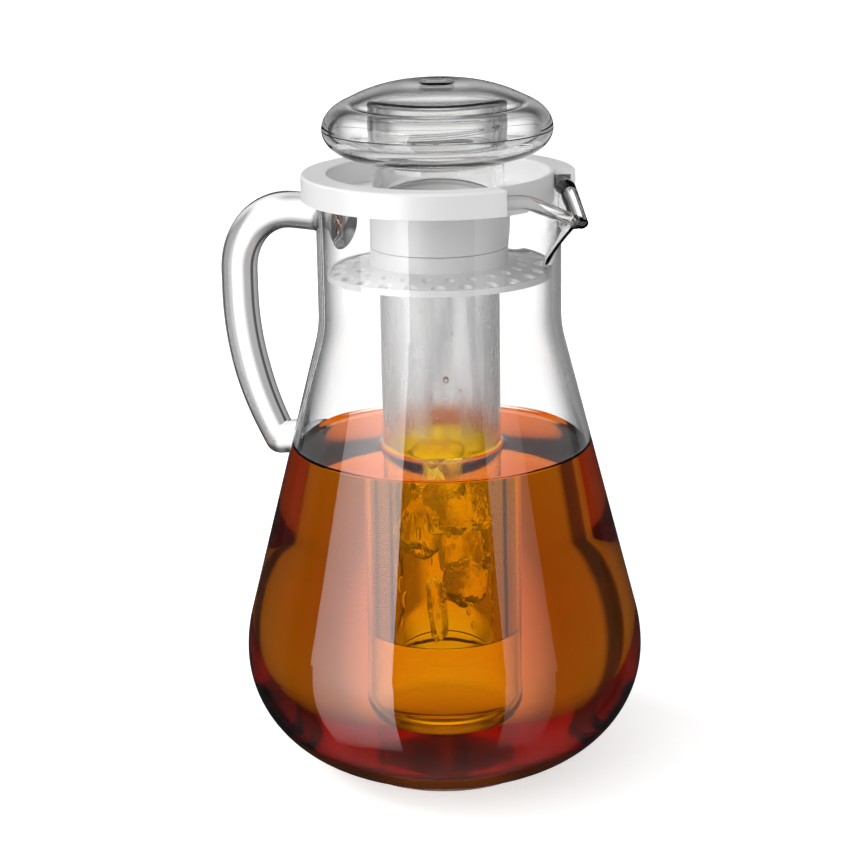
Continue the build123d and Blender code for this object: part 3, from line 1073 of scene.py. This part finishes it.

# Studio: pale floor, soft sun, plain room, tall soft boxes that only reflections see, with a painted pool of
# their light on the floor

studio = {
    "floorHalf": 6.0,  # metres
    "floorPale": 0.8,
    "floorGlow": 0.62,  # what the camera alone sees added to the floor's own light
    "roomGlow": 0.42,
    "mirrorGlow": 0.02,
    # What rays through glass see. Levels by direction: straight ahead, at the sides, towards the camera,
    # dark flags, high up and steeply down. Offsets are degrees from straight ahead.
    "ahead": 1.2,
    "aheadHalf": 7.0,
    "side": 0.43,
    "sideFrom": 16.0,
    "front": 0.5,
    "frontFrom": 97.0,
    "flag": 0.07,
    "flagOffsets": (-53.5, 36.5, 81.5),
    "flagHalf": 7.0,
    "flagSoft": 3.0,
    "high": 0.2,
    "under": 1.4,
    # Heights of the unit direction between which these take over
    "highBand": (0.04, 0.34),
    "underBand": (-0.85, -0.6),
}


def paleGroup():
    # How pale the room is round the pitcher: straight lines between stops over the angle from ahead
    group = bpy.data.node_groups.new("roomPale", "ShaderNodeTree")
    sockets = group.interface
    sockets.new_socket(name="Direction", in_out="INPUT", socket_type="NodeSocketVector")
    sockets.new_socket(name="Pale", in_out="OUTPUT", socket_type="NodeSocketFloat")
    given = addNode(group, "NodeGroupInput").outputs
    feeds = {"Vector": given["Direction"], "Angle": -np.radians(mainAzimuth + 90)}
    turned = addNode(group, "ShaderNodeVectorRotate", feeds, rotation_type="Z_AXIS")
    feeds = {"Vector": turned.outputs["Vector"]}
    around = addNode(group, "ShaderNodeTexGradient", feeds, gradient_type="RADIAL")
    r = studio
    half, soft = r["flagHalf"], r["flagSoft"]
    stops = []
    for way in (-1, 1):
        stops += [(way * r["aheadHalf"], r["ahead"]), (way * r["sideFrom"], r["side"])]
        stops += [(way * (r["frontFrom"] - soft), r["side"]), (way * r["frontFrom"], r["front"])]
    for offset in r["flagOffsets"]:
        stops += [(offset - half, r["side"]), (offset - half + soft, r["flag"])]
        stops += [(offset + half - soft, r["flag"]), (offset + half, r["side"])]
    ramp = addNode(group, "ShaderNodeValToRGB", {"Fac": around.outputs["Fac"]})
    ends = ramp.color_ramp.elements
    ends[0].position, ends[1].position = 0, 1
    ends[0].color = ends[1].color = (r["front"], r["front"], r["front"], 1)
    for offset, value in sorted(stops):
        ends.new(0.5 + offset / 360).color = (value, value, value, 1)
    addNode(group, "NodeGroupOutput", {"Pale": ramp.outputs["Color"]})
    return group


roomPale = paleGroup()


def floorPiece():
    # Flat square; the camera sees it a little brighter than its own light, so that it ends up white
    half = studio["floorHalf"] / mm
    line = np.linspace(-half, half, 9)
    x, y = np.meshgrid(line, line, indexing="ij")
    points = np.stack([x, y, np.zeros_like(x)], -1).reshape(-1, 3)
    material, tree, shader = newMaterial("paleFloor", {})
    tree.nodes.remove(shader)
    matt = addNode(tree, "ShaderNodeBsdfDiffuse", {"Color": (studio["floorPale"],) * 3 + (1,)})
    path = addNode(tree, "ShaderNodeLightPath").outputs
    added = combine(tree, "MULTIPLY", path["Is Camera Ray"], studio["floorGlow"])
    glow = addNode(tree, "ShaderNodeEmission", {"Strength": added})
    both = addNode(tree, "ShaderNodeAddShader", {0: matt.outputs["BSDF"], 1: glow.outputs["Emission"]})
    tree.links.new(both.outputs["Shader"], tree.nodes["Material Output"].inputs["Surface"])
    floor = meshPiece("studioFloor", points, gridFaces(9, 9, False, False), material)
    # Mirror rays and rays through glass see the world's paleness instead, so each is set by its direction
    floor.visible_glossy = False
    floor.visible_transmission = False
    return floor


floorPiece()


def roomWorld():
    # Camera sees white; rays through glass see it pale low down and dark above; mirror rays see a dark room
    world = bpy.data.worlds.new("studioRoom")
    bpy.context.scene.world = world
    world.use_nodes = True
    tree = world.node_tree
    path = addNode(tree, "ShaderNodeLightPath").outputs
    place = addNode(tree, "ShaderNodeTexCoord").outputs["Generated"]
    pale = addNode(tree, "ShaderNodeGroup", {"Direction": place}, node_tree=roomPale).outputs["Pale"]
    camera, glossy, through = path["Is Camera Ray"], path["Is Glossy Ray"], path["Is Transmission Ray"]
    # Past a matt surface a ray only carries light, and meets the plain level
    straight = combine(tree, "LESS_THAN", path["Diffuse Depth"], 0.5)
    # A ray through glass counts as glossy too, so a mirror ray is glossy without the other
    mirror = combine(tree, "GREATER_THAN", combine(tree, "SUBTRACT", glossy, through), 0.5)
    mirror = combine(tree, "MULTIPLY", mirror, straight)
    through = combine(tree, "MULTIPLY", through, straight)
    height = addNode(tree, "ShaderNodeSeparateXYZ", {"Vector": place}).outputs["Z"]
    band = valueRamp(tree, height, *studio["highBand"], 1.0, studio["high"])
    seen = combine(tree, "MULTIPLY", band, pale)
    steep = valueRamp(tree, height, *studio["underBand"], 1.0, 0.0)
    seen = blend(tree, steep, seen, studio["under"])
    level = blend(tree, through, studio["roomGlow"], seen)
    level = blend(tree, mirror, level, studio["mirrorGlow"])
    room = tree.nodes["Background"]
    room.inputs["Color"].default_value = (1, 1, 1, 1)
    tree.links.new(combine(tree, "MAXIMUM", level, camera), room.inputs["Strength"])


roomWorld()


def aroundView(offset):
    # Unit direction on the floor, offset degrees to the right of where the camera stands
    angle = np.radians(mainAzimuth + offset)
    return np.array([np.sin(angle), -np.cos(angle)])


softBoxes = {
    # from and to: degrees from the main view. levels at three shares of the way across.
    "softBoxLeft": {
        "from": -80.0,
        "to": -29.0,
        "strength": 6.4,
        "shares": (0, 0.6, 1),
        "levels": (0.45, 1, 1),
    },
    "softBoxRight": {
        "from": 33.0,
        "to": 64.0,
        "strength": 1.7,
        "shares": (0, 0.4, 1),
        "levels": (1, 1, 0.45),
    },
}
boxPlace = {
    "distance": 1500.0,
    "top": 1500.0,
    "columns": 13,
    "rows": 5,
    "wallRadius": 84.0,  # the bowl, from which the glow on the floor is mirrored
    # The next five values shape the painted pool of the boxes' light on the floor, a glowing sheet seen only
    # in the bowl's mirror
    "poolFrom": 16.0,
    "poolEnd": 90.0,
    "poolRows": 12,
    "poolShare": 0.08,
    "poolFull": 400.0,
}


def glowSheet(name, points, columns, rows, levels):
    # Sheet that only mirror rays see, each point with its own level
    material, tree, shader = newMaterial(name, {})
    tree.nodes.remove(shader)
    level = addNode(tree, "ShaderNodeAttribute", attribute_name="level").outputs["Fac"]
    glow = addNode(tree, "ShaderNodeEmission", {"Strength": level})
    tree.links.new(glow.outputs["Emission"], tree.nodes["Material Output"].inputs["Surface"])
    sheet = meshPiece(name, points, gridFaces(columns, rows, False, False), material)
    layer = sheet.data.attributes.new("level", "FLOAT", "POINT")
    layer.data.foreach_set("value", levels.astype(np.float32))
    for ray in ("camera", "diffuse", "transmission", "shadow", "volume_scatter"):
        setattr(sheet, "visible_" + ray, False)


def softBoxPiece(name, box):
    # Upright sheet on an arc round the pitcher: ground direction times distance, at every height
    p = boxPlace
    columns, rows, distance = p["columns"], p["rows"], p["distance"]
    angle = np.linspace(box["from"], box["to"], columns)
    across = box["strength"] * np.interp(np.linspace(0, 1, columns), box["shares"], box["levels"])
    ground = np.array([aroundView(a) for a in angle])
    height = np.linspace(2, p["top"], rows)
    spots = np.repeat(ground * distance, rows, 0)
    points = np.concatenate([spots, np.tile(height, columns)[:, None]], 1)
    glowSheet(name, points, columns, rows, np.repeat(across, rows))
    # Painted pool of its light on the floor, a glowing sheet on the ground that only mirror rays see: from a
    # wall point at half the angle, the mirrored ray runs out to the sheet
    wall = np.array([aroundView(a / 2) for a in angle]) * p["wallRadius"]
    run = np.geomspace(p["poolFrom"], distance - p["poolEnd"], p["poolRows"])
    spots = wall[:, None, :] + run[None, :, None] * ground[:, None, :]
    spots = np.concatenate([spots, np.full(spots.shape[:2] + (1,), 1.0)], -1)
    fade = np.interp(np.log(run), np.log([p["poolFrom"], p["poolFull"]]), [p["poolShare"], 1])
    levels = (across[:, None] * fade[None, :]).ravel()
    # Painted pool of light: a glowing sheet on the floor, seen only by mirror rays
    glowSheet(name + "Foot", spots.reshape(-1, 3), columns, p["poolRows"], levels)


for boxName, box in softBoxes.items():
    softBoxPiece(boxName, box)


lamps = {
    # offset: degrees from the main view. softness: the lamp's width in degrees.
    "keyLamp": {"offset": -88.0, "elevation": 52.0, "softness": 30.0, "strength": 1.25},
    "frontLamp": {"offset": -35.0, "elevation": 35.0, "softness": 60.0, "strength": 1.2},
}


def sunLamp(name, about):
    # Distant soft lamp: the same level everywhere on the floor
    lamp = bpy.data.lights.new(name, "SUN")
    lamp.angle = np.radians(about["softness"])
    lamp.energy = about["strength"]
    holder = bpy.data.objects.new(name, lamp)
    bpy.context.scene.collection.objects.link(holder)
    elevation = np.radians(about["elevation"])
    ground = aroundView(about["offset"]) * np.cos(elevation)
    holder.rotation_mode = "QUATERNION"
    holder.rotation_quaternion = Vector((*ground, np.sin(elevation))).to_track_quat("Z", "Y")
    holder.visible_glossy = False
    holder.visible_transmission = False


for lampName, about in lamps.items():
    sunLamp(lampName, about)
print("studio: ready")

# Camera, fitted to the pitcher's outline in the photograph

cameraFit = {
    "pitch": 15.97,
    "roll": 0.88,
    "focal": 2274.0,  # pixels
    "photoWidth": 865.0,  # pixels
    "distance": 0.934,  # metres, as are the next two
    "height": 0.4143,
    "sideways": -0.0039,
    "sensor": 36.0,
}


def photoCamera():
    # Turned about +Z by the azimuth, down by the pitch, then rolled about its own line of sight
    c = cameraFit
    angle, pitch, roll = np.radians([mainAzimuth, c["pitch"], c["roll"]])
    ahead = np.array([-np.sin(angle), np.cos(angle), 0])
    right = np.array([np.cos(angle), np.sin(angle), 0])
    forward = ahead * np.cos(pitch) - np.array([0, 0, np.sin(pitch)])
    up = np.cross(right, forward)
    turnedRight = right * np.cos(roll) - up * np.sin(roll)
    turnedUp = up * np.cos(roll) + right * np.sin(roll)
    data = bpy.data.cameras.new("photoCamera")
    data.sensor_fit = "HORIZONTAL"
    data.sensor_width = c["sensor"]
    data.lens = c["focal"] / c["photoWidth"] * c["sensor"]
    data.clip_start = 0.01
    holder = bpy.data.objects.new("photoCamera", data)
    bpy.context.scene.collection.objects.link(holder)
    turn = Matrix(np.column_stack([turnedRight, turnedUp, -forward]).tolist())
    spot = -ahead * c["distance"] + right * c["sideways"] + np.array([0, 0, c["height"]])
    holder.matrix_world = Matrix.Translation(Vector(spot)) @ turn.to_4x4()
    bpy.context.scene.camera = holder


photoCamera()

# The clear walls lie one inside another, so light needs many steps to get through them all
scene = bpy.context.scene
scene.view_settings.view_transform = "Standard"
scene.cycles.max_bounces = 28
scene.cycles.transmission_bounces = 28
scene.cycles.glossy_bounces = 8
scene.cycles.transparent_max_bounces = 16
